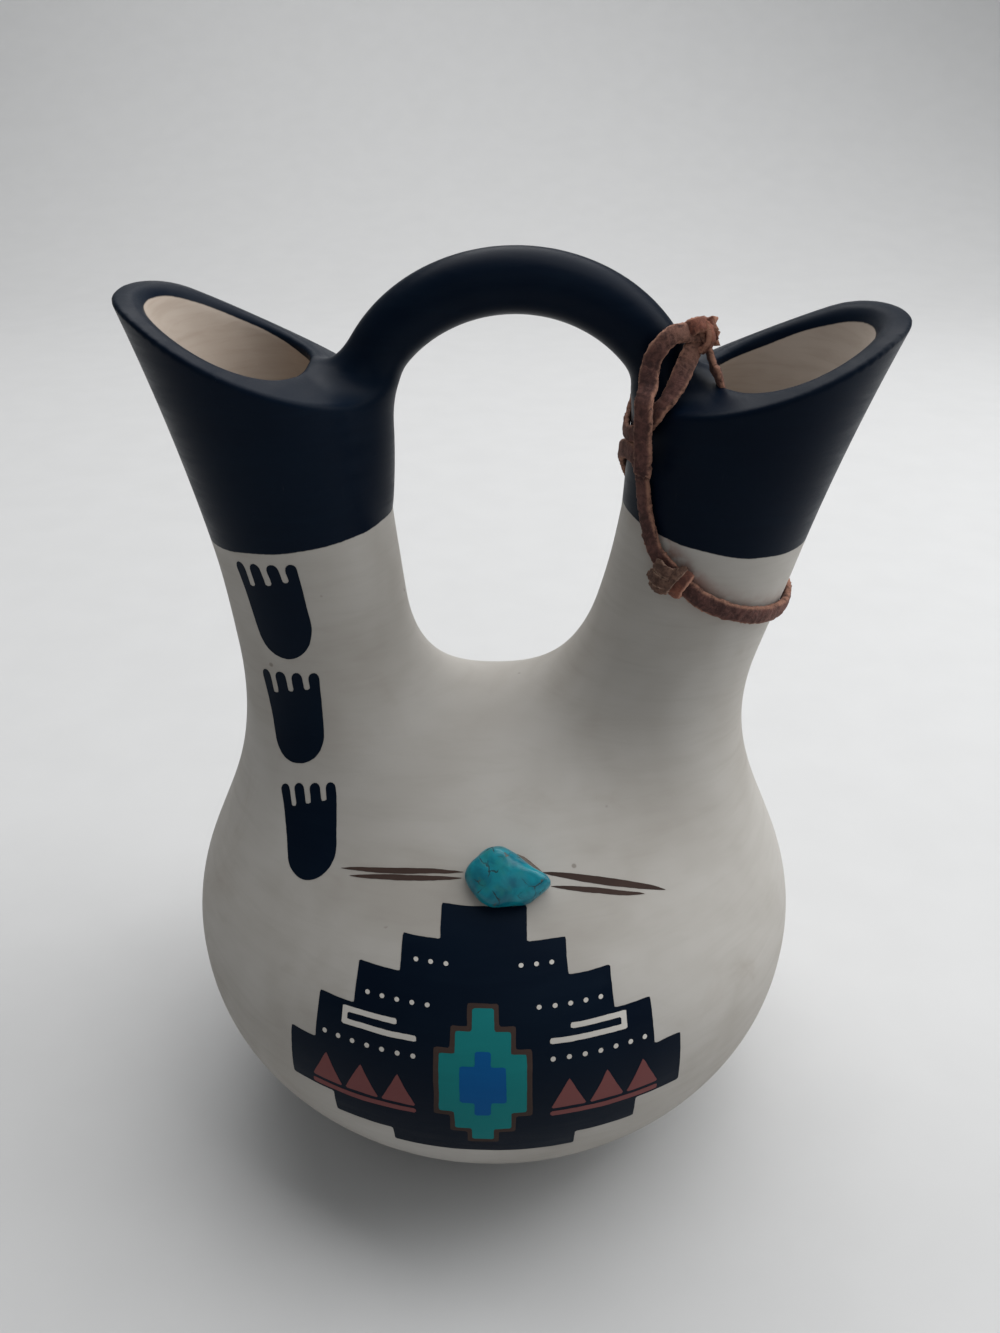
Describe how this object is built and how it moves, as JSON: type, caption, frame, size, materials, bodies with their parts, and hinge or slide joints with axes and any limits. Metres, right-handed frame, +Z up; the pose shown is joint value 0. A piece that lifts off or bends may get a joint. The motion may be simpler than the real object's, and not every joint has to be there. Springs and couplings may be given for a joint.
{
  "type": "wedding vase",
  "caption": "Hand-coiled clay vase with a round belly, two flaring spouts joined by an arched handle, a stone set on its front and a suede lace tied round one spout.",
  "frame": {"origin": "centre of the flat foot, on the surface that the vase stands on", "axes": "+Z up, -Y towards the decorated front, +X towards the spout that carries the lace"},
  "size_m": [0.1532, 0.1398, 0.1996],
  "materials": {
    "slip": "matt off-white slip over fired clay",
    "black_slip": "satin blue-black slip over fired clay",
    "turquoise": "polished stone with dark matrix",
    "resin": "dark cured resin",
    "suede": "reddish-brown suede, napped"
  },
  "bodies": {
    "root": {"belly": "slip", "left_spout": "black_slip", "right_spout": "black_slip", "handle": "black_slip", "turquoise_nugget": "turquoise", "resin_bed": "resin", "neck_lace": "suede", "lower_knot": "suede", "riser_lace": "suede", "handle_lace": "suede", "top_knot": "suede", "mouth_lace": "suede"}
  },
  "joints": []
}
